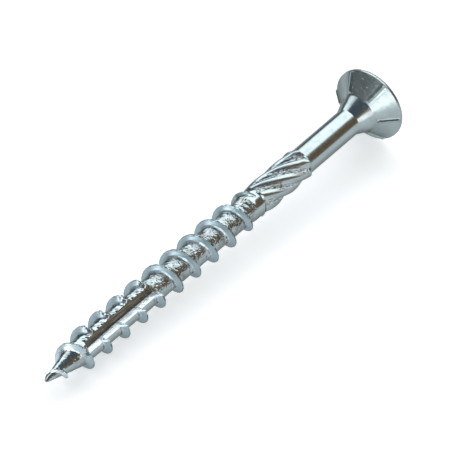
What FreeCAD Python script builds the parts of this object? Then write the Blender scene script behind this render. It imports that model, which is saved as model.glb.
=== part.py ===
# Countersunk timber screw, one solid, in millimetres.
# It lies as it comes to rest: the thread near the point and the rim of the head touch the
# surface at Z = 0, and its axis runs along X, from the point up to the head.
import FreeCAD, Part

import math
import os

import Sketcher
from FreeCAD import Placement, Rotation, Vector

# Driving dimensions. Places are measured along the axis from the point, and angles about the
# axis from the top of the lying screw, turning the way that a right-hand thread does.
SIZES = {
    "overall_length": 80.0,
    "point_diameter": 0.5,
    "core_diameter": 3.98,
    "core_start": 7.6,
    "core_run": 2.2,
    "shank_diameter": 4.36,
    "shank_taper": 0.7,
    "shank_length": 11.9,
    "thread_diameter": 6.12,
    "thread_lead": 4.32,
    "thread_start": 0.64,
    "thread_top": 11.0,
    "thread_grown": 8.0,
    "thread_fade": 6.0,
    "thread_gap": 0.7,
    "point_lead": 4.9,
    "crest_width": 0.16,
    "flank_angle": 22.0,
    "flank_foot": 0.18,
    "foot_width": 0.22,
    "cut_radius": 42.0,
    "cut_middle": 16.7,
    "cut_bottom": 0.96,
    "cut_angle": 69.5,
    "reamer_length": 11.35,
    "reamer_diameter": 5.04,
    "reamer_root": 4.0,
    "reamer_lead": 27.0,
    "reamer_angle": 30.0,
    "reamer_bevel": 0.25,
    "groove_width": 0.5,
    "land_width": 0.6,
    "neck_length": 2.6,
    "head_length": 3.3,
    "collar_diameter": 6.36,
    "head_diameter": 11.88,
    "rim_height": 0.62,
    "rim_bevel": 0.16,
    "rib_angle": 31.5,
    "rib_width": 0.72,
    "rib_crest": 0.12,
    "rib_height": 0.2,
    "rib_start": 0.2,
    "rib_gap": 0.05,
    "rib_slope": 0.35,
    "socket_width": 5.6,
    "socket_core": 3.95,
    "lobe_radius": 0.46,
    "socket_depth": 2.6,
    "socket_cone": 0.55,
}

# Sizes worked out from the driving ones
DERIVED = {
    "collar_start": "overall_length - head_length",
    "neck_start": "collar_start - neck_length",
    "reamer_end": "neck_start - shank_length",
    "reamer_start": "reamer_end - reamer_length",
    "thread_end": "reamer_start - thread_gap",
    "core_end": "thread_end - core_run",
    "point_radius": "point_diameter / 2",
    "core_radius": "core_diameter / 2",
    "shank_radius": "shank_diameter / 2",
    "shank_start": "core_end + shank_taper",
    "reamer_radius": "reamer_diameter / 2",
    "root_radius": "reamer_root / 2",
    "hub_radius": "root_radius - reamer_bevel",
    "bevel_radius": "reamer_radius - reamer_bevel",
    "bevel_start": "reamer_start + reamer_bevel",
    "bevel_end": "reamer_end - reamer_bevel",
    "collar_radius": "collar_diameter / 2",
    "head_radius": "head_diameter / 2",
    "rim_start": "overall_length - rim_height",
    "rim_end": "overall_length - rim_bevel",
    "face_radius": "head_radius - rim_bevel",
    "cone_angle": "atan((head_radius - collar_radius) / (rim_start - collar_start))",
    "cone_slant": "(rim_start - collar_start) / cos(cone_angle)",
    "socket_radius": "socket_core / 2",
    "socket_floor": "overall_length - socket_depth",
    "socket_tip": "socket_floor - socket_cone",
    "lobe_centre": "socket_width / 2 - lobe_radius",
    "cut_centre": "cut_bottom + cut_radius",
    "clear_radius": "reamer_radius + 1",
}

HEAD_RIBS = 6
REAMER_RIBS = 6
SOCKET_LOBES = 6
POINTS_PER_TURN = 16
LEAD_BLEND = 0.5            # turns on either side over which the lead changes
FADE_POWER = 0.35           # below 1, so that the thread stays high and then drops to its end
SINK = 0.12                 # how deep an added form reaches into the one that carries it
AXIS_GAP = 0.04             # nearest that the thread's hidden foot comes to the axis
TURN_GAP = 1e-9             # how closely the ends of the thread are found, in turns
AXIS = Vector(1, 0, 0)

doc = FreeCAD.newDocument("timber_screw")

# Sheet of sizes
sheet = doc.addObject("Spreadsheet::Sheet", "Sizes")
for row, (name, value) in enumerate({**SIZES, **DERIVED}.items(), start=1):
    sheet.set("A%d" % row, name.replace("_", " "))
    sheet.set("B%d" % row, "=" + value if name in DERIVED else str(value))
    sheet.setAlias("B%d" % row, name)
doc.recompute()


def size(name):
    value = getattr(sheet, name)
    return getattr(value, "Value", value)


def origin_item(body, role):
    return [item for item in body.Origin.OriginFeatures if item.Role == role][0]


def sketch_on(body, role, name):
    sketch = body.newObject("Sketcher::SketchObject", name)
    sketch.AttachmentSupport = [(origin_item(body, role), "")]
    sketch.MapMode = "FlatFace"
    return sketch


def add_outline(sketch, corners):
    # Each corner is a pair of names from the sheet, along the axis and out from it
    places = [Vector(size(along) if along else 0, size(out) if out else 0, 0) for along, out in corners]
    first = sketch.GeometryCount
    ends = places[1:] + places[:1]
    sketch.addGeometry([Part.LineSegment(start, end) for start, end in zip(places, ends)], False)
    for index, (along, out) in enumerate(corners):
        before = first + (index - 1) % len(corners)
        here = first + index
        sketch.addConstraint(Sketcher.Constraint("Coincident", before, 2, here, 1))
        for kind, name, axis in (("DistanceX", along, -2), ("DistanceY", out, -1)):
            if name is None:
                sketch.addConstraint(Sketcher.Constraint("PointOnObject", here, 1, axis))
            else:
                number = sketch.addConstraint(Sketcher.Constraint(kind, -1, 1, here, 1, size(name)))
                sketch.setExpression("Constraints[%d]" % number, "Sizes." + name)


def add_loop(sketch, edges):
    # Joins each edge to the next; an arc that runs clockwise is kept with its ends exchanged
    sketch.addGeometry(edges, False)
    for index in range(len(edges)):
        following = (index + 1) % len(edges)
        pairs = [(end, start) for end in (1, 2) for start in (1, 2)]
        gaps = [(sketch.getPoint(index, end) - sketch.getPoint(following, start)).Length for end, start in pairs]
        end, start = pairs[gaps.index(min(gaps))]
        sketch.addConstraint(Sketcher.Constraint("Coincident", index, end, following, start))


def polar(radius, angle):
    return Vector(radius * math.cos(angle), radius * math.sin(angle), 0)


def arc(radius, angle, half):
    return Part.Arc(polar(radius, angle - half), polar(radius, angle), polar(radius, angle + half))


def turn_about_axis(body, feature_type, sketch, name):
    feature = body.newObject(feature_type, name)
    feature.Profile = sketch
    feature.ReferenceAxis = (sketch, ["H_Axis"])
    feature.Angle = 360
    return feature


def repeat_around(body, feature, count, name):
    pattern = body.newObject("PartDesign::PolarPattern", name)
    pattern.Originals = [feature]
    pattern.Axis = (origin_item(body, "X_Axis"), [""])
    pattern.Angle = 360
    pattern.Occurrences = count
    body.Tip = pattern
    return pattern


# Blank: the turned form from the point to the head, with the round core of the socket
blank = doc.addObject("PartDesign::Body", "blank")
blank_profile = sketch_on(blank, "XZ_Plane", "blank_profile")
add_outline(blank_profile, [
    (None, None),
    (None, "point_radius"),
    ("core_start", "core_radius"),
    ("core_end", "core_radius"),
    ("shank_start", "shank_radius"),
    ("bevel_start", "shank_radius"),
    ("bevel_start", "hub_radius"),
    ("bevel_end", "hub_radius"),
    ("bevel_end", "shank_radius"),
    ("neck_start", "shank_radius"),
    ("collar_start", "collar_radius"),
    ("rim_start", "head_radius"),
    ("rim_end", "head_radius"),
    ("overall_length", "face_radius"),
    ("overall_length", "socket_radius"),
    ("socket_floor", "socket_radius"),
    ("socket_tip", None),
])
turn_about_axis(blank, "PartDesign::Revolution", blank_profile, "turned")
doc.recompute()

# Head ribs: low ridges with sloping ends that lie along the underside of the head
head_rib = blank.newObject("PartDesign::AdditiveWedge", "head_rib")
head_rib.Ymin = -SINK
for side, formula in {
    "Ymax": "Sizes.rib_height",
    "Xmin": "Sizes.rib_start",
    "X2min": "Sizes.rib_start + Sizes.rib_slope",
    "X2max": "Sizes.cone_slant - Sizes.rib_gap - Sizes.rib_slope",
    "Xmax": "Sizes.cone_slant - Sizes.rib_gap",
    "Zmin": "-Sizes.rib_width / 2",
    "Zmax": "Sizes.rib_width / 2",
    "Z2min": "-Sizes.rib_crest / 2",
    "Z2max": "Sizes.rib_crest / 2",
}.items():
    head_rib.setExpression(side, formula)
head_rib.AttachmentSupport = [(origin_item(blank, "XZ_Plane"), "")]
head_rib.MapMode = "FlatFace"
head_rib.setExpression("AttachmentOffset.Base.x", "Sizes.collar_start")
head_rib.setExpression("AttachmentOffset.Base.y", "Sizes.collar_radius")
head_rib.setExpression("AttachmentOffset.Rotation.Angle", "Sizes.cone_angle")
repeat_around(blank, head_rib, HEAD_RIBS, "head_ribs")
doc.recompute()

# Socket lobes: a small round end and two hollow flanks that run into the round core
flank_turn = math.pi / SOCKET_LOBES
lobe_centre = size("lobe_centre")
# The flank circle touches both the lobe's circle and the core: this gives its radius
offset = size("socket_radius") - lobe_centre * math.cos(flank_turn)
flank_radius = ((lobe_centre * math.sin(flank_turn)) ** 2 + offset ** 2 - size("lobe_radius") ** 2)
flank_radius /= 2 * (size("lobe_radius") - offset)
centre = Vector(lobe_centre, 0, 0)
flank_centre = polar(size("socket_radius") + flank_radius, flank_turn)
touch = centre + (flank_centre - centre) * (size("lobe_radius") / (flank_centre - centre).Length)
inner = polar(size("socket_radius"), flank_turn)
belly = flank_centre + (touch + inner - flank_centre * 2).normalize() * flank_radius


def mirrored(point):
    return Vector(point.x, -point.y, point.z)


def upright(point):
    return Vector(-point.y, point.x, 0)


lobe_profile = sketch_on(blank, "YZ_Plane", "lobe_profile")
lobe_profile.setExpression("AttachmentOffset.Base.z", "Sizes.overall_length")
lobe_end = Vector(size("socket_width") / 2, 0, 0)
add_loop(lobe_profile, [
    Part.Arc(upright(mirrored(touch)), upright(lobe_end), upright(touch)),
    Part.Arc(upright(touch), upright(belly), upright(inner)),
    Part.LineSegment(upright(inner), upright(mirrored(inner))),
    Part.Arc(upright(mirrored(inner)), upright(mirrored(belly)), upright(mirrored(touch))),
])
socket_lobe = blank.newObject("PartDesign::Pocket", "socket_lobe")
socket_lobe.Profile = lobe_profile
socket_lobe.setExpression("Length", "Sizes.socket_depth")
repeat_around(blank, socket_lobe, SOCKET_LOBES, "socket_lobes")
blank.Placement = Placement(Vector(), Rotation(AXIS, size("rib_angle")))
blank.setExpression("Placement.Rotation.Angle", "Sizes.rib_angle")
doc.recompute()

# Reamer: steep ribs with narrow grooves between them, carried along a right-hand screw line
reamer = doc.addObject("PartDesign::Body", "reamer")
reamer_section = sketch_on(reamer, "YZ_Plane", "reamer_section")
reamer_section.setExpression("AttachmentOffset.Base.z", "Sizes.reamer_start")
outer = size("reamer_radius")
root = size("root_radius")
half_land = size("land_width") / 2 / outer
half_groove = size("groove_width") / 2 / root
half_pitch = math.pi / REAMER_RIBS
section = []
for number in range(REAMER_RIBS):
    crest = math.pi / 2 + 2 * half_pitch * number
    valley = crest + half_pitch
    following = valley + half_pitch
    section += [
        arc(outer, crest, half_land),
        Part.LineSegment(polar(outer, crest + half_land), polar(root, valley - half_groove)),
        arc(root, valley, half_groove),
        Part.LineSegment(polar(root, valley + half_groove), polar(outer, following - half_land)),
    ]
add_loop(reamer_section, section)
doc.recompute()
ribs = reamer.newObject("PartDesign::AdditiveHelix", "reamer_ribs")
ribs.Profile = reamer_section
ribs.ReferenceAxis = (origin_item(reamer, "X_Axis"), "")
ribs.Mode = "pitch-height-angle"
ribs.setExpression("Pitch", "Sizes.reamer_lead")
ribs.setExpression("Height", "Sizes.reamer_length")
ribs.Angle = 0
doc.recompute()

# The ends of the reamer's ribs are bevelled
bevel_profile = sketch_on(reamer, "XZ_Plane", "bevel_profile")
add_outline(bevel_profile, [
    ("reamer_start", "bevel_radius"),
    ("bevel_start", "reamer_radius"),
    ("bevel_start", "clear_radius"),
    ("reamer_start", "clear_radius"),
])
add_outline(bevel_profile, [
    ("bevel_end", "reamer_radius"),
    ("reamer_end", "bevel_radius"),
    ("reamer_end", "clear_radius"),
    ("bevel_end", "clear_radius"),
])
bevels = turn_about_axis(reamer, "PartDesign::Groove", bevel_profile, "reamer_bevels")
reamer.Tip = bevels
reamer.Placement = Placement(Vector(), Rotation(AXIS, size("reamer_angle")))
reamer.setExpression("Placement.Rotation.Angle", "Sizes.reamer_angle")
doc.recompute()


# Thread: one ridge from the point to the shank. Its lead and its height both change on the way.
def core_at(place):
    cone = place / size("core_start")
    return size("point_radius") + (size("core_radius") - size("point_radius")) * max(0, min(1, cone))


def place_at(turn):
    # One turn before the ridge passes the top at thread_top, the lead grows to that of the point
    early = turn + 1
    if early < -LEAD_BLEND:
        stretch = early
    else:
        stretch = -max(0, LEAD_BLEND - early) ** 2 / (4 * LEAD_BLEND)
    return size("thread_top") + turn * size("thread_lead") + stretch * (size("point_lead") - size("thread_lead"))


def growth_at(place):
    start = min(1, place / size("thread_grown"))
    end = min(1, (size("thread_end") - place) / size("thread_fade"))
    return math.sin(math.pi / 2 * start) * end ** FADE_POWER


def ridge_point(turn, side, part):
    # side is -1 on the flank that faces the point and 1 on the other; part is its sink, foot or crest
    place = place_at(turn)
    growth = growth_at(place)
    height = (size("thread_diameter") - size("core_diameter")) / 2
    half_crest = size("crest_width") / 2
    flank = height - size("flank_foot")
    half_foot = half_crest + flank * math.tan(math.radians(size("flank_angle")))
    across = {"sink": half_foot + size("foot_width"), "foot": half_foot, "crest": half_crest}[part]
    along = place + side * across * growth
    above = {"sink": -SINK, "foot": size("flank_foot") * growth, "crest": height * growth}[part]
    out = max(AXIS_GAP, core_at(place if part == "crest" else along) + above)
    angle = 2 * math.pi * turn
    return Vector(along, -out * math.sin(angle), out * math.cos(angle))


def turn_at(place):
    # The turn whose ridge lies at this place, found by halving
    low = -1 - size("thread_top") / size("thread_lead")
    high = size("overall_length") / size("thread_lead")
    while high - low > TURN_GAP:
        middle = (low + high) / 2
        if place_at(middle) < place:
            low = middle
        else:
            high = middle
    return low


def strip(near, far):
    # A surface between two curves that share their knots
    surface = Part.BSplineSurface()
    surface.buildFromPolesMultsKnots([near.getPoles(), far.getPoles()], [2, 2], near.getMultiplicities(),
                                     [0, 1], near.getKnots(), False, False, 1, near.Degree)
    return surface


CORNERS = [(-1, "sink"), (-1, "foot"), (-1, "crest"), (1, "crest"), (1, "foot"), (1, "sink")]
first_turn = turn_at(size("thread_start"))
last_turn = turn_at(size("thread_end") - size("crest_width"))
steps = math.ceil((last_turn - first_turn) * POINTS_PER_TURN)
turns = [first_turn + (last_turn - first_turn) * step / steps for step in range(steps + 1)]
curves = []
for side, part in CORNERS:
    curve = Part.BSplineCurve()
    curve.interpolate(Points=[ridge_point(turn, side, part) for turn in turns], Parameters=turns)
    curves.append(curve)
strips = [strip(near, far) for near, far in zip(curves, curves[1:] + curves[:1])]


def section_face(turn):
    return Part.Face(Part.makePolygon([ridge_point(turn, side, part) for side, part in CORNERS + CORNERS[:1]]))


# The ridge is made one turn at a time, cut at planes through the axis
thread_turns = []
for start in range(0, steps, POINTS_PER_TURN):
    ends = turns[start], turns[min(start + POINTS_PER_TURN, steps)]
    faces = [section_face(turn) for turn in ends]
    for surface in strips:
        stretch = surface.copy()
        stretch.segment(0, 1, *ends)
        faces.append(stretch.toShape())
    shell = Part.Compound(faces)
    shell.sewShape()
    thread_turn = doc.addObject("Part::Feature", "thread_turn_%02d" % (len(thread_turns) + 1))
    thread_turn.Shape = Part.makeSolid(shell.Shells[0])
    thread_turns.append(thread_turn)

# Cut point: a flat wall through the axis, and the hollow that a milling cutter leaves beside it
cutter = doc.addObject("Part::Cylinder", "cutter")
cutter.setExpression("Radius", "Sizes.cut_radius")
cutter.setExpression("Height", "Sizes.thread_diameter")
cutter.Placement = Placement(Vector(), Rotation(AXIS, size("cut_angle") - 90))
cutter.setExpression("Placement.Base.x", "Sizes.cut_middle")
cutter.setExpression("Placement.Base.y", "-Sizes.cut_centre * sin(Sizes.cut_angle * 1 deg)")
cutter.setExpression("Placement.Base.z", "Sizes.cut_centre * cos(Sizes.cut_angle * 1 deg)")
cutter.setExpression("Placement.Rotation.Angle", "Sizes.cut_angle - 90")

uncut = doc.addObject("Part::MultiFuse", "uncut")
uncut.Shapes = [blank, reamer] + thread_turns
uncut.Refine = False
screw = doc.addObject("Part::Cut", "timber_screw")
screw.Base = uncut
screw.Tool = cutter
screw.Refine = False
screw.Label = "timber_screw"
doc.recompute()

# The screw lies on the rim of its head and on the lowest thread crest near the point
rim_place = size("rim_start")
rim_radius = size("head_radius")
tilts = []
for number in range(math.ceil(first_turn), math.floor(last_turn)):
    bottom = ridge_point(number + 0.5, -1, "crest")
    tilts.append(math.atan2(rim_radius + bottom.z, rim_place - bottom.x))
tilt = min(tilts)
lift = rim_radius * math.cos(tilt) - rim_place * math.sin(tilt)
left = -size("point_radius") * math.sin(tilt)
right = size("overall_length") * math.cos(tilt) + size("face_radius") * math.sin(tilt)
screw.Placement = Placement(Vector(-(left + right) / 2, 0, lift), Rotation(Vector(0, -1, 0), math.degrees(tilt)))
doc.recompute()

for item in doc.Objects:
    if "Invalid" in item.State or "Error" in item.State:
        raise SystemExit("%s failed: %s" % (item.Label, item.State))
if screw.Shape.isNull() or not screw.Shape.isValid() or len(screw.Shape.Solids) != 1:
    raise SystemExit("timber_screw is not one valid solid")
os.makedirs("parts", exist_ok=True)
screw.Shape.exportStep("parts/%s.step" % screw.Label)
print("timber_screw: %.2f mm3, lying tilt %.2f degrees" % (screw.Shape.Volume, math.degrees(tilt)))
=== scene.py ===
import math

import bpy
import numpy as np
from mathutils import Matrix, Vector


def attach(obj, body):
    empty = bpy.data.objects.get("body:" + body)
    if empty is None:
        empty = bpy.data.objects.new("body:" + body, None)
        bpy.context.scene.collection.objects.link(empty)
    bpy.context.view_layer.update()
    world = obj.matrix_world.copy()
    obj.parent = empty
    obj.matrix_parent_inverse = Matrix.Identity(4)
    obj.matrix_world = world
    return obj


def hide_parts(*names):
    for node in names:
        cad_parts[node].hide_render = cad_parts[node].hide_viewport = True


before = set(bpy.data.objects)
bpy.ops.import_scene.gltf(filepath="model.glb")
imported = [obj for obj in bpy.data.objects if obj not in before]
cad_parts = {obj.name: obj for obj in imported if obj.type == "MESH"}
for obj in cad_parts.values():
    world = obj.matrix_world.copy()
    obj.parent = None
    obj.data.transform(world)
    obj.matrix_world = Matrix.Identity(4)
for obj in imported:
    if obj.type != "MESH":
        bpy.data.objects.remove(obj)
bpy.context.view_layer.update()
millimetre = 0.001
print("frame loaded")

# The screw is one closed skin. Everything is worked out along the axis (place, from the point),
# out from it (radius) and round it (angle from the top of the lying screw, right-handed about
# the axis), in millimetres and degrees. Of four numbers in brackets the outer two say where a
# mark sets in and has ended, and the inner two where it is whole.

screw = {
    "length": 80.0,
    "pointRadius": 0.28,
    "pointRound": 0.18,
    "coreRadius": 1.99,
    "coreStart": 7.6,
    "coreEnd": 46.95,
    "shankStart": 49.35,
    "shankRadius": 2.18,
    "neckStart": 74.1,
    "collarStart": 76.7,
    "collarRadius": 3.18,
    "headRadius": 5.94,
    "rimHeight": 0.62,
    "rimBevel": 0.16,
    "rimRound": 0.34,        # worn wider than the bevel
    "crease": 0.06,          # rows this close to a bend keep it crisp
    "shankRows": 12,
    "neckRows": 9,
    "coneRows": 25,
    "rimRows": (0.04, 0.2, 0.36),    # distances from the rim's edge
    "sharpAngle": 38.0,      # bends over this stay sharp
}

thread = {
    "radius": 3.06,
    "lead": 4.32,
    "top": 11.0,             # where the first full turn passes the top
    "pointLead": 4.9,        # longer lead on the point's cone
    "grown": 8.0,
    "end": 50.15,
    "fade": 6.0,
    "fadePower": 0.35,
    "crestWidth": 0.2,
    "pointWidth": 0.6,       # power of the growth that the width follows
    "pointCrest": 0.12,      # the crest is blunter there
    "crestRound": 0.02,
    "crestWear": 0.02,
    "flankAngle": 22.0,
    "flankFoot": 0.18,
    "footRun": 0.12,
    "coreHidden": 0.3,       # a ridge this high hides the marks on the core
    "hammered": (17, 27, 48.6, 49.6),
    "dent": 0.03,
    "pointWork": (0.3, 1.2, 6.5, 8.2),
    "pointDent": 0.014,
    "pointDentCore": (0.3, 0.8),     # the dents set in between these core radii
    "zoneEnd": 50.5,         # the rows run along the helix up to here
    "firstTurn": -4,
    "crestRows": (0.06, 0.13, 0.22, 0.31, 0.4, 0.49, 0.58, 0.75),     # distances from the crest
    "valleyRows": 15,
}

cutPoint = {
    "radius": 120.0,         # the hollow's long curve
    "middle": 17.2,
    "from": 8.7,
    "to": 24.6,
    "endSlope": 1.3,
    "bottom": 0.96,
    "milling": 0.006,
    "angle": 69.5,
    "lean": 4.0,             # from the foot of the flat wall to its top
    "reach": 88.0,           # the hollow lies within this angle of the wall
    "markReach": 120.0,      # and the marks beside it within this one
    "roll": 0.34,            # the wall's foot is rolled out over the hollow by this
    "rollAt": 0.05,          # share of the wall's height at the rolled foot
    "burrHeight": 0.34,
    "burrAngle": 4.0,
    "burrLead": -0.38,       # on the flank that faces the point
    "burrWidth": 0.22,
    "burrUneven": 0.4,
    "burrEnd": 26.0,
    "wrinkle": 0.055,
    "wrinkleAngle": 26.0,
    "wrinkleOnRidge": 0.4,
    "wrinkled": (4, 8, 26, 28),
    "crushed": 0.3,          # share of the ridge left at the hollow's edge
    "crushAngle": 30.0,
    "crushUneven": 0.25,
    "crushEnd": 26.5,
}

rollRing = {                 # rough ring that the rolling dies leave just before the reamer
    "place": 49.1,
    "sway": 0.5,
    "swayAngle": 110.0,
    "width": 0.3,
    "depth": 0.03,
    "even": 0.3,             # share of the depth that is the same all round
}

reamer = {
    "start": 50.85,
    "end": 62.2,
    "radius": 2.52,
    "root": 2.0,
    "power": 0.72,           # below 1 the rib's top is flatter and its sides steeper
    "lead": 27.0,
    "angle": 30.0,
    "bevel": 0.25,
    "groove": 0.3,
    "ribs": 6,
    "rows": 40,
    "rough": 0.035,          # in the grooves and up the ribs' sides
    "roughUpTo": (0.3, 0.75),        # it ends between these shares of the rib's height
    "roughRun": (0.3, 0.1),  # run-in at the start and run-out at the end
    "endRough": 0.05,        # on the shoulder towards the head
    "shoulder": (2.2, 0.6, 0.05),    # distances before the end, where it sets in, is whole and ends
}

headRib = {
    "angle": 31.5,
    "width": 0.56,
    "crest": 0.12,
    "height": 0.25,
    "start": 0.33,           # along the cone, from the collar
    "gap": 0.12,             # to the rim
    "slope": 0.22,
    "count": 6,
    "columns": (0.03, 0.06, 0.10, 0.15, 0.2, 0.25, 0.32),     # distances from the rib's middle
}

socket = {
    "width": 5.6,
    "core": 3.95,
    "lobe": 0.46,
    "lobes": 6,
    "depth": 2.6,
    "cone": 0.55,
    "floor": 0.98,           # share of the core circle where the floor's cone starts
    "chamfer": 0.1,
    "bunched": 0.18,         # columns stand closer where flank and lobe meet
}

# Each ripple: its seed, waves a millimetre, waves a turn and, where it isn't 9, their number
ripples = {
    "dents": (3, 0.7, 14),
    "fineDents": (4, 2.2, 44),
    "wear": (5, 0.2, 40),
    "dentPatches": (6, 0.3, 5),
    "grooves": (7, 1.1, 44),
    "shoulder": (8, 0.7, 26),
    "burrs": (9, 0.8, 40),
    "wrinkles": (10, 1.5, 20),
    "milling": (11, 0.3, 60),
    "rollRing": (12, 1.6, 90, 14),
    "crush": (13, 0.9, 30),
    "pointDents": (14, 2.4, 7),
}

marks = {                    # how far the material's masks reach
    "crest": 1.6,            # in half-widths of the crest
    "crestGrowth": 0.05,
    "flankRidge": 0.04,      # a ridge this high is all flank
    "flankFrom": (3.5, 8.5),
    # burrs get the pale wall colour: a painted highlight
    "burrs": 1.6,
    "footLead": (-1.5, -0.6),        # beside the ridge, towards the point
    "foot": (8, 11, 43, 46),
    "pointWorked": 0.6,
    "paintedSheen": 0.35,           # the hollow is painted lighter beside the wall: painted light
    "sheenAngle": 40.0,
    "pointHighlight": 0.7,       # the first turn is painted pale: a painted highlight
    "shineRidge": (0.02, 0.12),
    "shineEnd": (4.4, 6),
    "shineLost": 0.7,
}

wallAngle = math.radians(cutPoint["angle"])
wallLean = math.radians(cutPoint["lean"])
wallShares = np.array([1, 0.95, 0.5, 0])     # of the lean, from the hollow's edge up the wall
nearTop = math.radians(340)  # the columns stand closer from here to the top
wallColumn = 56              # the hollow's edge; next come the wall's foot, core level and top
backColumns = 103
topColumns = 17
columns = np.concatenate([
    np.linspace(0, wallAngle - wallLean, wallColumn, endpoint=False),
    wallAngle - wallLean * wallShares,
    np.linspace(wallAngle, nearTop, backColumns + 1)[1:],
    np.linspace(nearTop, 2 * math.pi, topColumns + 1, endpoint=False)[1:],
])


def between(low, high, count):
    # Even steps from low to high without the two ends
    return np.linspace(low, high, count + 2)[1:-1]


def smooth(low, high, value):
    # 0 below low, 1 above high, an S curve between them
    share = np.clip((value - low) / (high - low), 0, 1)
    return share * share * (3 - 2 * share)


def within(limits, value):
    # 1 between the two inner limits, 0 beyond the two outer ones, S curves between them
    return smooth(limits[0], limits[1], value) * (1 - smooth(limits[2], limits[3], value))


def ripple(place, angle, seed, along, around, waves=9):
    # Sum of plane waves of random direction: at most along a millimetre and around a turn
    chance = np.random.default_rng(seed)
    total = np.zeros(np.broadcast(place, angle).shape)
    for _ in range(waves):
        stretch = chance.uniform(-1, 1) * along * 2 * math.pi
        turns = chance.integers(1, around + 1)
        total += np.sin(place * stretch + angle * turns + chance.uniform(0, 2 * math.pi))
    return total / math.sqrt(waves)


def placeAt(turn):
    # Place of the ridge along the axis; back from turn -0.5 to -1.5 the lead grows to pointLead
    early = turn + 1
    stretch = np.where(early < -0.5, early, -np.maximum(0, 0.5 - early) ** 2 / 2)
    return thread["top"] + turn * thread["lead"] + stretch * (thread["pointLead"] - thread["lead"])


def growthAt(place):
    # Share of the full ridge height: a quarter sine from the point, a power of the way to the end
    start = np.clip(place / thread["grown"], 0, 1)
    end = np.clip((thread["end"] - place) / thread["fade"], 0, 1)
    return np.sin(math.pi / 2 * start) * end ** thread["fadePower"]


def coreAt(place):
    # Radius under the ridge: rounded point, cone, cylinder, step up to the shank
    grown = np.clip(place / screw["coreStart"], 0, 1)
    cone = screw["pointRadius"] + (screw["coreRadius"] - screw["pointRadius"]) * grown
    rounding = screw["pointRound"]
    blunt = rounding - np.clip(place, 0, rounding)
    cone = cone - rounding + np.sqrt(np.maximum(rounding ** 2 - blunt ** 2, 0))
    step = screw["shankRadius"] - screw["coreRadius"]
    return cone + step * smooth(screw["coreEnd"], screw["shankStart"], place)


def ridgeAt(place, angle):
    # Height of the ridge at a place: round crest, straight flank, hollow foot; also the crest mask
    # and the distance by which the place leads the nearest crest
    turn = angle / (2 * math.pi)
    nearest = np.round((place - placeAt(turn)) / thread["lead"])
    height = np.zeros_like(place)
    crest = np.zeros_like(place)
    lead = np.full_like(place, np.inf)
    full = thread["radius"] - screw["coreRadius"]
    halfCrest = thread["crestWidth"] / 2
    flankRun = (full - thread["flankFoot"]) * math.tan(math.radians(thread["flankAngle"]))
    halfFoot = halfCrest + flankRun
    flankTop = full - thread["crestRound"]
    for shift in (-1, 0, 1):
        centre = placeAt(turn + nearest + shift)
        growth = np.maximum(growthAt(centre), 1e-6)
        off = np.abs(place - centre) / growth ** thread["pointWidth"]
        off = np.maximum(off - thread["pointCrest"] * (1 - growth), 0)
        top = full - thread["crestRound"] * np.clip(off / halfCrest, 0, 1) ** 2
        flank = np.interp(off, [halfCrest, halfFoot], [flankTop, thread["flankFoot"]])
        foot = thread["flankFoot"] * np.clip(1 - (off - halfFoot) / thread["footRun"], 0, 1) ** 2
        rise = np.where(off < halfCrest, top, np.where(off < halfFoot, flank, foot)) * growth
        height = np.maximum(height, rise)
        onCrest = np.clip(marks["crest"] - off / halfCrest, 0, 1) * (growth > marks["crestGrowth"])
        crest = np.maximum(crest, onCrest)
        lead = np.where(np.abs(place - centre) < np.abs(lead), place - centre, lead)
    return height, crest, lead


def cutAt(place):
    # Distance of the hollow from the axis: a long arc that runs out steeply at both ends
    offset = place - cutPoint["middle"]
    arc = cutPoint["bottom"] + cutPoint["radius"] - np.sqrt(cutPoint["radius"] ** 2 - offset ** 2)
    beyond = np.maximum(cutPoint["from"] - place, 0) + np.maximum(place - cutPoint["to"], 0)
    return arc + cutPoint["endSlope"] * beyond


def pastEdge(place, away, radius):
    # Angle past the hollow's edge, which is where its distance over the radius is the cosine
    return away - np.arccos(np.clip(cutAt(place) / radius, -1, 1))


def ringShare(place, angle):
    # A bell curve along the axis whose middle sways with the sine of the angle
    sway = np.sin(angle - math.radians(rollRing["swayAngle"]))
    return np.exp(-((place - rollRing["place"] - rollRing["sway"] * sway) / rollRing["width"]) ** 2)


def helixRows():
    # Rows follow the helix, so that each crest keeps its rows all the way round
    besideCrest = np.array(thread["crestRows"])
    last = besideCrest[-1]
    valley = between(last, thread["lead"] - last, thread["valleyRows"])
    turnRows = np.concatenate([[0.0], besideCrest, valley, thread["lead"] - besideCrest[::-1]])
    lastTurn = math.ceil((thread["zoneEnd"] - thread["top"]) / thread["lead"])
    rows = (np.arange(thread["firstTurn"], lastTurn)[:, None] + turnRows / thread["lead"]).ravel()
    place = placeAt(rows[:, None] + columns / (2 * math.pi))
    return np.clip(place, 0, thread["zoneEnd"]), len(turnRows)


def wornRadius(place, angle, core, ridge, crest, onCore):
    # Core plus ridge, with a hammered core, a dented point, worn crests and the rolled ring
    dents = 0.5 * ripple(place, angle, *ripples["dents"])
    dents = dents + 0.5 * ripple(place, angle, *ripples["fineDents"])
    dents = dents * (0.5 + 0.5 * np.tanh(2 * ripple(place, angle, *ripples["dentPatches"])))
    radius = core + ridge + thread["dent"] * dents * onCore * within(thread["hammered"], place)
    pointDents = ripple(place, angle, *ripples["pointDents"])
    pointDents = pointDents * smooth(*thread["pointDentCore"], core)
    radius += thread["pointDent"] * within(thread["pointWork"], place) * pointDents
    radius -= crest * thread["crestWear"] * np.abs(ripple(place, angle, *ripples["wear"]))
    rough = rollRing["even"] + ripple(place, angle, *ripples["rollRing"])
    return radius - rollRing["depth"] * ringShare(place, angle) * rough


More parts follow.
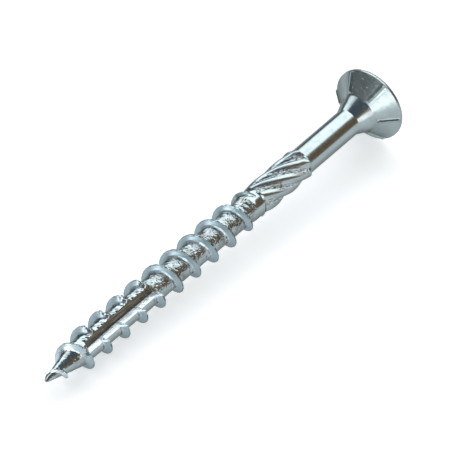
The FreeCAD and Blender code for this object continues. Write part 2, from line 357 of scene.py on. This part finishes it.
def raiseWall(radius, angle, core, cut):
    # The wall's foot is rolled out over the hollow; above it lie core level and the uncut top
    edgeCut = cut[:, wallColumn]
    floorRadius = radius[:, wallColumn]
    top = radius[:, wallColumn + 3]
    rise = np.minimum(top, core[:, wallColumn + 3]) - floorRadius
    radius[:, wallColumn + 1] = np.where(edgeCut, floorRadius + cutPoint["rollAt"] * rise, top)
    radius[:, wallColumn + 2] = np.where(edgeCut, floorRadius + rise, top)
    angle = angle.copy()
    angle[:, wallColumn + 1] -= np.where(edgeCut, cutPoint["roll"] / radius[:, wallColumn + 1], 0)
    # The wall's columns get the pale wall colour: a painted highlight
    wall = np.zeros_like(radius)
    wall[:, wallColumn + 1:wallColumn + 4] = edgeCut[:, None]
    return angle, wall


def threadZone():
    # Core plus ridge; in the hollow, its distance from the axis over the cosine of the angle
    place, rowsPerTurn = helixRows()
    angle = np.broadcast_to(columns, place.shape)
    ridge, crest, lead = ridgeAt(place, angle)
    core = coreAt(place)
    # The cutter works on one side of the flat wall and crushes the ridges beside its hollow
    away = wallAngle - np.where(angle > math.pi, angle - 2 * math.pi, angle)
    side = (np.arange(len(columns)) <= wallColumn) | (angle > math.pi)
    marked = side & (away < math.radians(cutPoint["markReach"])) & (away >= 0)
    reached = marked & (away < math.radians(cutPoint["reach"]))
    uneven = 1 + cutPoint["crushUneven"] * ripple(place, angle, *ripples["crush"])
    crushAngle = math.radians(cutPoint["crushAngle"]) * uneven
    whole = smooth(0, crushAngle, pastEdge(place, away, core + ridge))
    left = cutPoint["crushed"] + (1 - cutPoint["crushed"]) * whole
    left = np.where(marked & (place < cutPoint["crushEnd"]), left, 1)
    ridge = ridge * left
    crest = crest * left
    onCore = 1 - np.clip(ridge / thread["coreHidden"], 0, 1)
    radius = wornRadius(place, angle, core, ridge, crest, onCore)
    hollow = cutAt(place) / np.cos(np.where(reached, away, 0))
    cut = reached & (hollow < radius)
    # Beside the hollow the metal is pushed up: burrs on the flanks, wrinkles on the core
    edge = pastEdge(place, away, radius)
    beside = marked & ~cut
    burr = np.exp(-(edge / math.radians(cutPoint["burrAngle"])) ** 2) * beside
    burr = burr * np.exp(-((lead - cutPoint["burrLead"]) / cutPoint["burrWidth"]) ** 2)
    burr = burr * (1 + cutPoint["burrUneven"] * ripple(place, angle, *ripples["burrs"]))
    burr = burr * (place < cutPoint["burrEnd"])
    near = np.exp(-np.maximum(edge, 0) / math.radians(cutPoint["wrinkleAngle"])) * beside
    near = near * within(cutPoint["wrinkled"], place)
    near = near * (cutPoint["wrinkleOnRidge"] + (1 - cutPoint["wrinkleOnRidge"]) * onCore)
    wrinkles = cutPoint["wrinkle"] * near * ripple(place, angle, *ripples["wrinkles"])
    milled = hollow + cutPoint["milling"] * ripple(place, angle, *ripples["milling"])
    radius = np.where(cut, milled, radius + burr * cutPoint["burrHeight"] + wrinkles)
    angle, wall = raiseWall(radius, angle, core, cut)
    # Masks for the material
    pointWork = within(thread["pointWork"], place)
    flank = np.clip(ridge / marks["flankRidge"], 0, 1) * (1 - crest) * (~cut) * left ** 2
    # The flanks' feet get a pale colour: painted light that lifts the shade in the crease
    foot = smooth(*marks["footLead"], lead) * (lead < 0) * onCore * (~cut)
    worked = np.maximum(within(thread["hammered"], place) * onCore, ringShare(place, angle))
    # The first turn gets the pale wall colour: a painted highlight
    firstTurnHighlight = marks["pointHighlight"] * (1 - marks["shineLost"] * smooth(*marks["shineEnd"], place))
    # The burrs get the pale wall colour: a painted highlight on their curled edges
    wall = np.maximum(wall, np.clip(burr * marks["burrs"], 0, 1))
    # Less of the dark cut colour beside the wall: painted light on the hollow
    paintedSheen = marks["paintedSheen"] * (1 - smooth(0, math.radians(marks["sheenAngle"]), away))
    masks = {
        "cutMask": cut * (1 - paintedSheen),
        "crestMask": crest,
        "workedMask": np.maximum(worked, marks["pointWorked"] * pointWork * onCore * (~cut)),
        "wallMask": np.maximum(wall, firstTurnHighlight * pointWork * smooth(*marks["shineRidge"], ridge)),
        "flankMask": flank * smooth(*marks["flankFrom"], place),
        "footMask": foot * within(marks["foot"], place),
    }
    return place, radius, angle, masks, rowsPerTurn


def reamerRadius(angle):
    # Narrow groove floors; from each side a cosine to a power rises to the rib's round top
    pitch = 2 * math.pi / reamer["ribs"]
    off = np.abs((angle + pitch / 2) % pitch - pitch / 2)
    halfRib = pitch / 2 - reamer["groove"] / 2 / reamer["root"]
    share = np.cos(np.clip(off / halfRib, 0, 1) * math.pi / 2) ** reamer["power"]
    return reamer["root"] + (reamer["radius"] - reamer["root"]) * share


def reamerZone():
    # The ribbed section carried along while it turns by one turn a lead, bevelled at both ends
    start, end, bevel = reamer["start"], reamer["end"], reamer["bevel"]
    ribStart, ribEnd = start + bevel, end - bevel
    step = 1e-3
    places = np.concatenate([
        [start, start + step, ribStart - step, ribStart],
        between(ribStart, ribEnd, reamer["rows"]),
        [ribEnd, ribEnd + step, end - step, end],
    ])
    twist = 2 * math.pi * (places - start) / reamer["lead"]
    angle = columns + twist[:, None]
    place = np.broadcast_to(places[:, None], angle.shape).copy()
    radius = reamerRadius(columns - math.radians(reamer["angle"])) * np.ones_like(angle)
    bevelled = reamer["radius"] - bevel + np.minimum(place - start, end - place)
    radius = np.minimum(radius, bevelled)
    onBevel = (place < ribStart - step / 2) | (place > ribEnd + step / 2)
    radius = np.where(onBevel, np.maximum(radius, screw["shankRadius"]), radius)
    radius[0] = radius[-1] = screw["shankRadius"]
    height = (radius - reamer["root"]) / (reamer["radius"] - reamer["root"])
    grooves = 1 - smooth(*reamer["roughUpTo"], height)
    runIn, runOut = reamer["roughRun"]
    inside = within((ribStart, ribStart + runIn, ribEnd - runOut, ribEnd), place)
    rough = reamer["rough"] * ripple(place, angle, *ripples["grooves"])
    radius = radius + inside * grooves * rough
    begin, whole, until = [end - distance for distance in reamer["shoulder"]]
    rough = reamer["endRough"] * ripple(place, angle, *ripples["shoulder"])
    radius = radius + within((begin, whole, until, end), place) * rough
    return place, radius, angle, grooves * inside


def headColumns(radius):
    # In each sector of one rib: columns at fixed distances across the rib, then spread out
    across = np.array(headRib["columns"])
    sectors = headRib["count"]
    side = len(columns) // sectors // 2
    spread = np.linspace(0, 1, side - len(across) + 1)[1:]
    radius = np.asarray(radius, float)[:, None]
    near = across / radius
    far = near[:, -1:] + (math.pi / sectors - near[:, -1:]) * spread
    right = np.concatenate([near, far], axis=1)
    sector = np.concatenate([-right[:, -2::-1], 0 * radius, right], axis=1)
    turned = np.arange(sectors) + 2      # the reamer has turned the columns on by two sectors
    centres = math.radians(headRib["angle"]) + turned * 2 * math.pi / sectors
    return (centres[:, None, None] + sector).transpose(1, 0, 2).reshape(len(sector), -1)


def headZone():
    # Shank, neck and head as one profile carried round; ribs stand along the cone's normal
    neck, collar, crease = screw["neckStart"], screw["collarStart"], screw["crease"]
    rim = screw["length"] - screw["rimHeight"]
    slope = math.atan2(screw["headRadius"] - screw["collarRadius"], rim - collar)
    slant = math.hypot(screw["headRadius"] - screw["collarRadius"], rim - collar)
    ribStart, ribEnd = headRib["start"], slant - headRib["gap"]
    along = np.unique(np.concatenate([
        [crease], np.linspace(0, slant, screw["coneRows"] + 1)[1:],
        [ribStart, ribStart + headRib["slope"], ribEnd - headRib["slope"], ribEnd],
    ]))
    places = np.concatenate([
        between(reamer["end"], neck, screw["shankRows"]), [neck - crease, neck, neck + crease],
        between(neck, collar, screw["neckRows"]), [collar - crease, collar],
        collar + along * math.cos(slope),
        rim + np.array(screw["rimRows"]),
    ])
    profile = [screw["shankRadius"], screw["collarRadius"], screw["headRadius"]]
    radii = np.interp(places, [neck, collar, rim], profile)
    fromReamer = columns + 2 * math.pi * (reamer["end"] - reamer["start"]) / reamer["lead"]
    toRibs = headColumns(np.maximum(radii, screw["collarRadius"]))
    blend = smooth(reamer["end"], neck - 1, places)[:, None]     # the shank's columns move over
    angle = fromReamer * (1 - blend) + toRibs * blend
    place = np.broadcast_to(places[:, None], angle.shape).copy()
    radius = np.broadcast_to(radii[:, None], angle.shape).copy()
    # Rib: a wedge of trapezoid section with sloping ends
    distance = (place - collar) / math.cos(slope)
    pitch = 2 * math.pi / headRib["count"]
    off = (angle - math.radians(headRib["angle"]) + pitch / 2) % pitch - pitch / 2
    halfWidth, halfCrest = headRib["width"] / 2, headRib["crest"] / 2
    flank = np.clip((halfWidth - np.abs(off) * radius) / (halfWidth - halfCrest), 0, 1)
    ends = np.minimum(distance - ribStart, ribEnd - distance) / headRib["slope"]
    rise = headRib["height"] * np.minimum(flank, np.clip(ends, 0, 1))
    return place - rise * math.sin(slope), radius + rise * math.cos(slope), angle


def socketRadius(angle):
    # Six-lobe outline: round lobe ends joined by hollow flanks that touch the core circle
    pitch = 2 * math.pi / socket["lobes"]
    off = np.abs((angle - math.radians(headRib["angle"]) + pitch / 2) % pitch - pitch / 2)
    lobe = socket["lobe"]
    core = socket["core"] / 2
    centre = socket["width"] / 2 - lobe
    gap = core - centre * math.cos(pitch / 2)
    flank = ((centre * math.sin(pitch / 2)) ** 2 + gap ** 2 - lobe ** 2) / (2 * (lobe - gap))
    reach = core + flank
    towards = np.array([reach * math.cos(pitch / 2) - centre, reach * math.sin(pitch / 2)])
    touch = np.array([centre, 0]) + towards * lobe / np.hypot(*towards)
    touchAngle = math.atan2(touch[1], touch[0])
    rest = pitch / 2 - off
    lobeChord = np.sqrt(np.maximum(lobe ** 2 - (centre * np.sin(off)) ** 2, 0))
    flankChord = np.sqrt(np.maximum(flank ** 2 - (reach * np.sin(rest)) ** 2, 0))
    inLobe = centre * np.cos(off) + lobeChord
    inFlank = reach * np.cos(rest) - flankChord
    return np.where(off < touchAngle, inLobe, inFlank)


def socketColumns():
    # Even columns in each lobe's sector, shifted by a sine towards where flank and lobe meet
    lobes = socket["lobes"]
    share = np.linspace(-1, 1, len(columns) // lobes, endpoint=False)
    shift = socket["bunched"] * np.sin(share * 2 * math.pi) * np.cos(share * math.pi / 2)
    turned = np.arange(lobes) + 2        # as in headColumns
    centres = math.radians(headRib["angle"]) + turned * 2 * math.pi / lobes
    return (centres[:, None] + math.pi / lobes * (share + shift)).ravel()


def faceZone():
    # Rounded rim, flat top, chamfered mouth, socket wall, floor and its cone down to the axis.
    # Each row has its place, radius and share of the way from the rim's columns to the socket's
    length, bevel, chamfer = screw["length"], screw["rimRound"], socket["chamfer"]
    outer = headColumns([screw["headRadius"]])[0]
    inner = socketColumns()
    flat = screw["headRadius"] - bevel
    mouth = socketRadius(inner)
    floor = length - socket["depth"]
    core = socket["core"] / 2 * socket["floor"]
    quarterRound = ((1, 0), (0.62, 0.08), (0.29, 0.29), (0.08, 0.62), (0, 1))
    rows = [(length - bevel * back, screw["headRadius"] - bevel * inward, 0)
            for back, inward in quarterRound]
    for share in (0.12, 0.3, 0.5, 0.7, 0.88):
        rows.append((length, flat * (1 - share) + (mouth + chamfer) * share, share))
    rows += [(length, mouth + chamfer, 1), (length - chamfer, mouth, 1)]
    rows += [(length - depth, mouth, 1) for depth in np.linspace(chamfer, socket["depth"], 8)[1:]]
    rows += [(floor, mouth * (1 - share) + core * share, 1) for share in (0.5, 1)]
    rows += [(floor - socket["cone"] * share, core * (1 - share), 1) for share in (0.33, 0.66, 1)]
    place = np.array([np.full(len(columns), row[0]) for row in rows])
    radius = np.array([row[1] * np.ones(len(columns)) for row in rows])
    angle = np.array([outer * (1 - row[2]) + inner * row[2] for row in rows])
    return place, radius, angle


def laid(place, radius, angle):
    # The lying pose: turned up about Y until the rim and the thread near the point both touch down
    rim = screw["length"] - screw["rimHeight"]
    lowest = placeAt(np.array(-0.5)) - thread["crestWidth"] / 2
    tilt = math.atan2(screw["headRadius"] - thread["radius"], rim - lowest)
    lift = screw["headRadius"] * math.cos(tilt) - rim * math.sin(tilt)
    left = -screw["pointRadius"] * math.sin(tilt)
    topRadius = screw["headRadius"] - screw["rimBevel"]
    right = screw["length"] * math.cos(tilt) + topRadius * math.sin(tilt)
    up = radius * np.cos(angle)
    x = place * math.cos(tilt) - up * math.sin(tilt) - (left + right) / 2
    z = place * math.sin(tilt) + up * math.cos(tilt) + lift
    return np.stack([x, -radius * np.sin(angle), z], axis=-1) * millimetre


def weld(points, quads):
    # Points that round to the same place become one; corners and faces that vanish with them go
    stepsPerMillimetre = 2e3
    keys = np.round(points / millimetre * stepsPerMillimetre).astype(np.int64)
    _, first, same = np.unique(keys, axis=0, return_index=True, return_inverse=True)
    quads = same.ravel()[quads]
    keep = quads != np.roll(quads, 1, axis=1)
    sizes = keep.sum(axis=1)
    folded = (quads[:, 0] == quads[:, 2]) | (quads[:, 1] == quads[:, 3])
    good = (sizes >= 3) & ~folded
    return first, quads[good][keep[good]], sizes[good]


def buildScrew():
    # The zones' rows one after another, from the point's tip to the socket's
    place, radius, angle, threadMasks, rowsPerTurn = threadZone()
    axisRow = np.zeros((1, len(columns)))
    zones = [(axisRow, axisRow, angle[:1]), (place, radius, angle)]
    afterThread = 1 + len(place)
    *reamerForm, grooveMask = reamerZone()
    zones += [reamerForm, headZone(), faceZone()]
    faceRows = len(zones[-1][0])
    roundRows = 4            # of the rounded rim
    place, radius, angle = [np.concatenate([zone[part] for zone in zones]) for part in range(3)]
    points = laid(place, radius, angle).reshape(-1, 3)
    afterReamer = afterThread + len(grooveMask)
    coneStart, coneWhole = screw["neckStart"], screw["collarStart"] + 0.2
    ownMasks = ("reamerMask", "grooveMask", "rimMask", "shankMask", "coneMask")
    masks = {name: np.zeros(place.shape) for name in (*threadMasks, *ownMasks)}
    for name, values in threadMasks.items():
        masks[name][1:afterThread] = values
    masks["reamerMask"][afterThread:afterReamer] = 1
    masks["grooveMask"][afterThread:afterReamer] = grooveMask
    masks["rimMask"][-faceRows:roundRows - faceRows] = 1
    masks["shankMask"][afterReamer:] = 1
    masks["coneMask"][afterReamer:] = smooth(coneStart, coneWhole, place[afterReamer:])
    # Quads between neighbouring rows and columns; in the thread the seam joins one turn on
    index = np.arange(place.size).reshape(place.shape)
    seam = np.arange(len(place))
    inThread = (seam >= 1) & (seam < afterThread)
    seam = np.where(inThread, np.minimum(seam + rowsPerTurn, afterThread - 1), seam)
    wrapped = np.concatenate([index, index[seam, :1]], axis=1)
    corners = [wrapped[:-1, :-1], wrapped[:-1, 1:], wrapped[1:, 1:], wrapped[1:, :-1]]
    first, loops, sizes = weld(points, np.stack(corners, axis=-1).reshape(-1, 4))
    mesh = skinMesh(points[first], loops, sizes)
    for name, values in masks.items():
        layer = mesh.attributes.new(name, "FLOAT", "POINT")
        layer.data.foreach_set("value", values.ravel()[first].astype(np.float32))
    skin = bpy.data.objects.new("timber_screw_skin", mesh)
    bpy.context.scene.collection.objects.link(skin)
    return skin


def skinMesh(points, loops, sizes):
    # Smooth faces of the given sizes, whose corners follow one another in loops
    mesh = bpy.data.meshes.new("timber_screw_skin")
    mesh.vertices.add(len(points))
    mesh.vertices.foreach_set("co", points.ravel())
    mesh.loops.add(len(loops))
    mesh.loops.foreach_set("vertex_index", loops)
    mesh.polygons.add(len(sizes))
    mesh.polygons.foreach_set("loop_start", np.concatenate([[0], np.cumsum(sizes)[:-1]]))
    mesh.update(calc_edges=True)
    mesh.validate()
    mesh.polygons.foreach_set("use_smooth", np.ones(len(mesh.polygons), bool))
    mesh.set_sharp_from_angle(angle=math.radians(screw["sharpAngle"]))
    return mesh


zinc = {
    "plate": (0.32, 0.38, 0.395),
    "flank": (0.33, 0.43, 0.475),
    # pale at the flanks' feet, painted light that lifts the shade in the crease; in the grooves a
    # frost
    "foot": (0.55, 0.62, 0.66),
    # pale wall, burrs and first turn: a painted highlight
    "wall": (0.78, 0.91, 1.0),
    # dark rounded rim: painted shade along the head's edge
    "rim": (0.14, 0.12, 0.1),
    "cutSteel": (0.11, 0.1, 0.08),
    "cutBright": (0.3, 0.28, 0.22),
    "stain": (0.12, 0.1, 0.07),
    "glancing": (0.4, 0.4, 0.38),
    "grainRoughness": 0.6,
    "mottle": ((1500, 1500, 1500), 1.5),     # waves per metre along each axis, detail
    "speckle": ((4400, 4400, 4400), 1),
    "patches": ((700, 700, 700), 2),
    "streaks": ((90, 4200, 4200), 4),
    "coreStain": (0.45, 0.7, 0, 0.6),        # grain from, to; share of the stain from, to
    "crestSpecks": (0.5, 0.58, 0, 0.9),
    "frost": (0.38, 0.58, 0, 1),
    "handled": (0.42, 0.66, 0, 0.14),
    "cutStreaks": (0.5, 0.75, 0, 0.8),
    "pits": (0.69, 0.8, 0, 1),
    "grooveFrost": 0.7,
    "rimPaintedShade": 0.85,
    "rimDull": 0.45,
    "flankMatte": 0.3,       # share that scatters like paint
    "wallMatte": 0.35,
    "footMatte": 0.5,
    "rimMatte": 0.9,
    "threadRoughness": 0.17,
    "smoothRoughness": 0.2,
    "roughness": {"worked": 0.26, "reamer": 0.27, "cone": 0.26, "flank": 0.3, "wall": 0.25},
    "plateRelief": 0.04,
    "coreRelief": 1.7,
    "coneRelief": 0.18,
    "pitRelief": 0.3,
    "cutRelief": 0.6,
    "wallRelief": 0.4,
    "reliefStep": 0.0001,    # metres that a relief of 1 stands up
}


def node(tree, kind, **settings):
    made = tree.nodes.new(kind)
    for name, value in settings.items():
        setattr(made, name, value)
    return made


def maths(tree, operation, first, second=None, third=None):
    # A Math node whose inputs are sockets or plain numbers
    made = node(tree, "ShaderNodeMath", operation=operation)
    for number, value in enumerate((first, second, third)):
        if value is None:
            continue
        if isinstance(value, (int, float)):
            made.inputs[number].default_value = value
        else:
            tree.links.new(value, made.inputs[number])
    return made.outputs[0]


def overlay(tree, under, over, share):
    # Colour mix: under is a socket or a colour, over a colour
    mix = node(tree, "ShaderNodeMix", data_type="RGBA")
    if isinstance(under, tuple):
        mix.inputs[6].default_value = (*under, 1)
    else:
        tree.links.new(under, mix.inputs[6])
    mix.inputs[7].default_value = (*over, 1)
    tree.links.new(share, mix.inputs["Factor"])
    return mix.outputs[2]


def ramp(tree, value, low, high, fromShare, toShare, curve="LINEAR"):
    # Ramp of a socket between two limits, straight or an S curve
    made = node(tree, "ShaderNodeMapRange", interpolation_type=curve)
    limits = {"From Min": low, "From Max": high, "To Min": fromShare, "To Max": toShare}
    for name, number in limits.items():
        made.inputs[name].default_value = number
    tree.links.new(value, made.inputs["Value"])
    return made.outputs[0]


def blendNumber(tree, under, over, share):
    # Number mix: under is a socket, over a number
    mix = node(tree, "ShaderNodeMix", data_type="FLOAT")
    tree.links.new(under, mix.inputs[2])
    mix.inputs[3].default_value = over
    tree.links.new(share, mix.inputs[0])
    return mix.outputs[0]


def grain(tree, place, scale, detail):
    # Noise with its own number of waves per metre along each axis
    stretch = node(tree, "ShaderNodeMapping")
    stretch.inputs["Scale"].default_value = scale
    tree.links.new(place, stretch.inputs["Vector"])
    noise = node(tree, "ShaderNodeTexNoise")
    noise.inputs["Scale"].default_value = 1
    noise.inputs["Detail"].default_value = detail
    noise.inputs["Roughness"].default_value = zinc["grainRoughness"]
    tree.links.new(stretch.outputs[0], noise.inputs["Vector"])
    return noise.outputs["Fac"]


def zincPlate():
    material = bpy.data.materials.new("zinc_plate_blue")
    material.use_nodes = True
    tree = material.node_tree
    tree.nodes.clear()
    link = tree.links.new
    output = node(tree, "ShaderNodeOutputMaterial")
    shader = node(tree, "ShaderNodeBsdfPrincipled")
    link(shader.outputs[0], output.inputs["Surface"])
    where = node(tree, "ShaderNodeTexCoord").outputs["Object"]
    names = ("cut", "crest", "worked", "wall", "flank", "foot",
             "reamer", "groove", "rim", "shank", "cone")
    mask = {name: node(tree, "ShaderNodeAttribute", attribute_name=name + "Mask").outputs["Fac"]
            for name in names}
    mottle, speckle, patches, streaks = [
        grain(tree, where, *zinc[name]) for name in ("mottle", "speckle", "patches", "streaks")]

    def times(first, second):
        return maths(tree, "MULTIPLY", first, second)

    def plus(share, amount, under):
        return maths(tree, "MULTIPLY_ADD", share, amount, under)

    # Colour, each layer over the last: lighter flanks, stains and specks, a pale painted lift of
    # the shade at the feet and pale frost in the grooves, handled shank, painted shade on the rim,
    # a pale painted highlight on the wall, burrs and first turn, bare streaked steel
    rough = maths(tree, "MAXIMUM", mask["foot"], times(mask["groove"], zinc["grooveFrost"]))
    frostAndPaintedLift = times(rough, ramp(tree, mottle, *zinc["frost"]))
    layers = [
        ("flank", mask["flank"]),
        ("stain", times(mask["worked"], ramp(tree, patches, *zinc["coreStain"]))),
        ("stain", times(mask["crest"], ramp(tree, mottle, *zinc["crestSpecks"]))),
        ("foot", frostAndPaintedLift),
        ("stain", times(mask["shank"], ramp(tree, patches, *zinc["handled"]))),
        ("rim", times(mask["rim"], zinc["rimPaintedShade"])),
        ("wall", mask["wall"]),
        ("cutSteel", mask["cut"]),
        ("cutBright", times(mask["cut"], ramp(tree, streaks, *zinc["cutStreaks"]))),
    ]
    colour = zinc["plate"]
    for name, share in layers:
        colour = overlay(tree, colour, zinc[name], share)
    link(colour, shader.inputs["Base Color"])
    shader.inputs["Specular Tint"].default_value = (*zinc["glancing"], 1)
    # The fine grain of the flanks and the rim scatters light like paint; so does the matte share
    # that carries the painted highlight on the wall and the painted lift at the feet
    shiny = plus(mask["flank"], -zinc["flankMatte"], 1.0)
    shiny = plus(mask["wall"], -zinc["wallMatte"], shiny)
    shiny = plus(frostAndPaintedLift, -zinc["footMatte"], shiny)
    shiny = plus(mask["rim"], -zinc["rimMatte"], shiny)
    link(shiny, shader.inputs["Metallic"])
    link(plus(mask["rim"], -zinc["rimDull"], 0.5), shader.inputs["Specular IOR Level"])
    # Gloss: brightest on the thread's crests, duller part by part
    gloss = ramp(tree, mask["shank"], 0, 1, zinc["threadRoughness"], zinc["smoothRoughness"])
    for name, roughness in zinc["roughness"].items():
        gloss = blendNumber(tree, gloss, roughness, mask[name])
    link(gloss, shader.inputs["Roughness"])
    # Relief: hammered core and grooves, a fine grain everywhere else, milling lines in the hollow
    depth = zinc["plateRelief"]
    for name in ("worked", "groove", "crest"):
        depth = plus(mask[name], zinc["coreRelief"], depth)
    relief = times(mottle, depth)
    relief = plus(times(mask["cone"], speckle), zinc["coneRelief"], relief)
    pits = ramp(tree, speckle, *zinc["pits"])
    relief = plus(times(mask["cone"], pits), zinc["pitRelief"], relief)
    relief = plus(times(mask["cut"], streaks), zinc["cutRelief"], relief)
    relief = plus(times(mask["wall"], streaks), zinc["wallRelief"], relief)
    bump = node(tree, "ShaderNodeBump")
    bump.inputs["Strength"].default_value = 1
    bump.inputs["Distance"].default_value = zinc["reliefStep"]
    link(relief, bump.inputs["Height"])
    link(bump.outputs[0], shader.inputs["Normal"])
    return material


skin = buildScrew()
skin.data.materials.append(zincPlate())
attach(skin, "root")
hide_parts("timber_screw")
print("screw:", len(skin.data.vertices), "points,", len(skin.data.polygons), "faces")


studio = {
    "floorColour": (0.72, 0.74, 0.76),
    "floorLift": 0.46,
    "floorRadius": 30.0,
    "horizon": (1.0, 1.0, 1.0),
    "shade": (0.27, 0.27, 0.26),
    "warmShade": (0.28, 0.185, 0.11),
    "coolShade": (0.13, 0.18, 0.2),
    "zenith": (0.12, 0.16, 0.19),
    "zenithFrom": (0.55, 0.9),       # height of the direction, 1 straight up
    "coolSide": (15, 110, 10),       # degrees from, to and softness
    "warmSide": (-115, -5, 10),
    "horizonHeight": (-20, 1.2, 0.6),
    "backBox": ((-30, 88, 3), (23, 60, 2)),      # direction, height
    "lowBackBox": ((-27, 20, 6), (-3, 18, 2)),
    "frontBox": ((-170, -88, 7), (-4, 27, 3)),
    "tipBox": ((-22, 12, 6), (2, 22, 3)),        # direction counted from the point's side
    "backLight": 2.7,
    "frontLight": 3.0,
    "tipLight": 4.5,
}


def buildFloor():
    # A flat square that shows paler to the camera and in reflections than it lights the screw
    corners = np.array([(-1, -1, 0), (1, -1, 0), (1, 1, 0), (-1, 1, 0)]) * studio["floorRadius"]
    mesh = bpy.data.meshes.new("floor")
    mesh.from_pydata([tuple(corner) for corner in corners], [], [(0, 1, 2, 3)])
    floor = bpy.data.objects.new("floor", mesh)
    bpy.context.scene.collection.objects.link(floor)
    material = bpy.data.materials.new("floor_white")
    material.use_nodes = True
    tree = material.node_tree
    tree.nodes.clear()
    link = tree.links.new
    output = node(tree, "ShaderNodeOutputMaterial")
    paint = node(tree, "ShaderNodeBsdfDiffuse")
    paint.inputs["Color"].default_value = (*studio["floorColour"], 1)
    glow = node(tree, "ShaderNodeEmission")
    path = node(tree, "ShaderNodeLightPath")
    seen = maths(tree, "MAXIMUM", path.outputs["Is Camera Ray"], path.outputs["Is Glossy Ray"])
    seen = maths(tree, "MAXIMUM", seen, path.outputs["Is Transmission Ray"])
    link(maths(tree, "MULTIPLY", seen, studio["floorLift"]), glow.inputs["Strength"])
    both = node(tree, "ShaderNodeAddShader")
    link(paint.outputs[0], both.inputs[0])
    link(glow.outputs[0], both.inputs[1])
    link(both.outputs[0], output.inputs["Surface"])
    mesh.materials.append(material)
    return floor


def band(tree, value, low, high, soft):
    # 1 between low and high degrees with soft edges
    low, high, soft = math.radians(low), math.radians(high), math.radians(soft)
    rise = ramp(tree, value, low - soft, low + soft, 0, 1, "SMOOTHSTEP")
    fall = ramp(tree, value, high - soft, high + soft, 1, 0, "SMOOTHSTEP")
    return maths(tree, "MULTIPLY", rise, fall)


def softBox(tree, around, height, limits):
    # A soft rectangle of directions and heights
    return maths(tree, "MULTIPLY", band(tree, around, *limits[0]), band(tree, height, *limits[1]))


def buildWorld():
    # A grey room with a pale horizon and soft boxes, painted by direction
    world = bpy.data.worlds.new("studio")
    bpy.context.scene.world = world
    world.use_nodes = True
    tree = world.node_tree
    tree.nodes.clear()
    link = tree.links.new
    output = node(tree, "ShaderNodeOutputWorld")
    background = node(tree, "ShaderNodeBackground")
    link(background.outputs[0], output.inputs["Surface"])
    where = node(tree, "ShaderNodeTexCoord")
    parts = node(tree, "ShaderNodeSeparateXYZ")
    link(where.outputs["Generated"], parts.inputs[0])
    x, y, z = parts.outputs
    height = maths(tree, "ARCSINE", z)
    around = maths(tree, "ARCTAN2", y, x)
    minusX, minusY = [maths(tree, "MULTIPLY", part, -1) for part in (x, y)]
    fromPoint = maths(tree, "ARCTAN2", minusY, minusX)
    layers = [
        ("coolShade", band(tree, around, *studio["coolSide"])),
        ("warmShade", band(tree, around, *studio["warmSide"])),
        ("zenith", ramp(tree, z, *studio["zenithFrom"], 0, 1, "SMOOTHSTEP")),
        ("horizon", band(tree, height, *studio["horizonHeight"])),
    ]
    tone = studio["shade"]
    for name, share in layers:
        tone = overlay(tree, tone, studio[name], share)
    back = maths(tree, "MAXIMUM", softBox(tree, around, height, studio["backBox"]),
                 softBox(tree, around, height, studio["lowBackBox"]))
    front = softBox(tree, around, height, studio["frontBox"])
    tip = softBox(tree, fromPoint, height, studio["tipBox"])
    boxes = maths(tree, "MULTIPLY", back, studio["backLight"])
    boxes = maths(tree, "MULTIPLY_ADD", front, studio["frontLight"], boxes)
    boxes = maths(tree, "MULTIPLY_ADD", tip, studio["tipLight"], boxes)
    total = node(tree, "ShaderNodeVectorMath", operation="ADD")
    link(tone, total.inputs[0])
    link(boxes, total.inputs[1])
    link(total.outputs[0], background.inputs["Color"])


camera = {                   # degrees and millimetres
    "azimuth": -142.971,
    "elevation": 37.244,
    "distance": 2256.89,
    "aim": (2.109, -1.249, 6.227),
    "lens": 1214.47,
}


def buildCamera():
    data = bpy.data.cameras.new("camera")
    data.lens = camera["lens"]
    data.clip_start = 0.05
    data.clip_end = 200
    made = bpy.data.objects.new("camera", data)
    bpy.context.scene.collection.objects.link(made)
    azimuth, elevation = math.radians(camera["azimuth"]), math.radians(camera["elevation"])
    level = math.cos(elevation)
    away = Vector((math.cos(azimuth) * level, math.sin(azimuth) * level, math.sin(elevation)))
    aim = Vector(camera["aim"]) * millimetre
    made.location = aim + away * camera["distance"] * millimetre
    made.rotation_euler = (-away).to_track_quat("-Z", "Y").to_euler()
    bpy.context.scene.camera = made


floor = buildFloor()
buildWorld()
buildCamera()
bpy.context.scene.view_settings.view_transform = "Standard"
print("studio ready")
